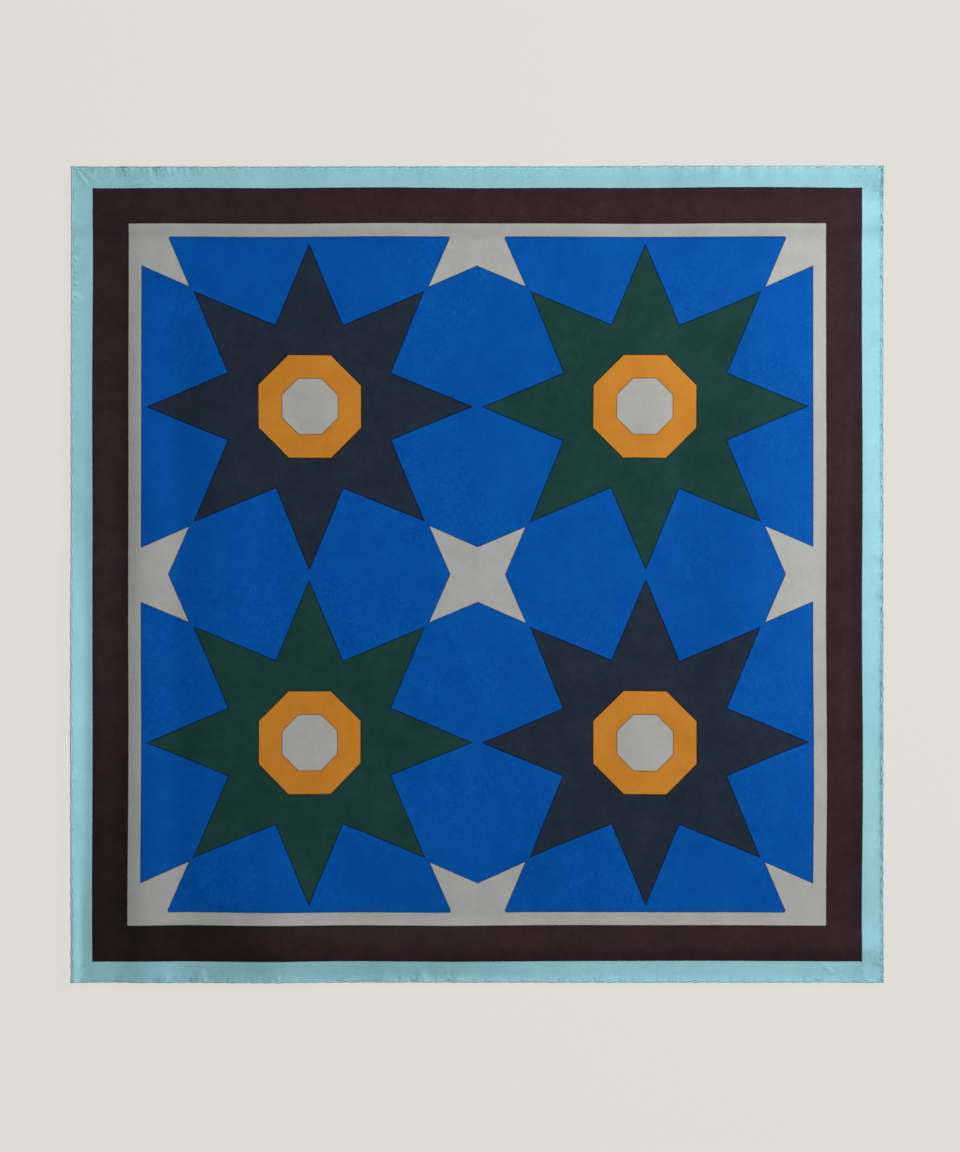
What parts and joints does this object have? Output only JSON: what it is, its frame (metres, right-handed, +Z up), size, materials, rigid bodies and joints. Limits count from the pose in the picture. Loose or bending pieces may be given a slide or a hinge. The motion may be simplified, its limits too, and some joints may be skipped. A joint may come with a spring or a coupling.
{
  "type": "silk square scarf",
  "caption": "Square silk scarf with hand-rolled hems, laid flat, with soft low folds along its edges and across its middle.",
  "frame": {"origin": "on the surface that the scarf lies on, under the middle of the square", "axes": "+Z up through the cloth, +Y towards the top hem, +X towards the right hem"},
  "size_m": [0.9, 0.904, 0.0108],
  "materials": {
    "printed_silk": "soft low sheen",
    "rolled_hem_silk": "soft low sheen"
  },
  "bodies": {
    "root": {"panel": "printed_silk", "hem_top": "rolled_hem_silk", "hem_right": "rolled_hem_silk", "hem_bottom": "rolled_hem_silk", "hem_left": "rolled_hem_silk"}
  },
  "joints": []
}
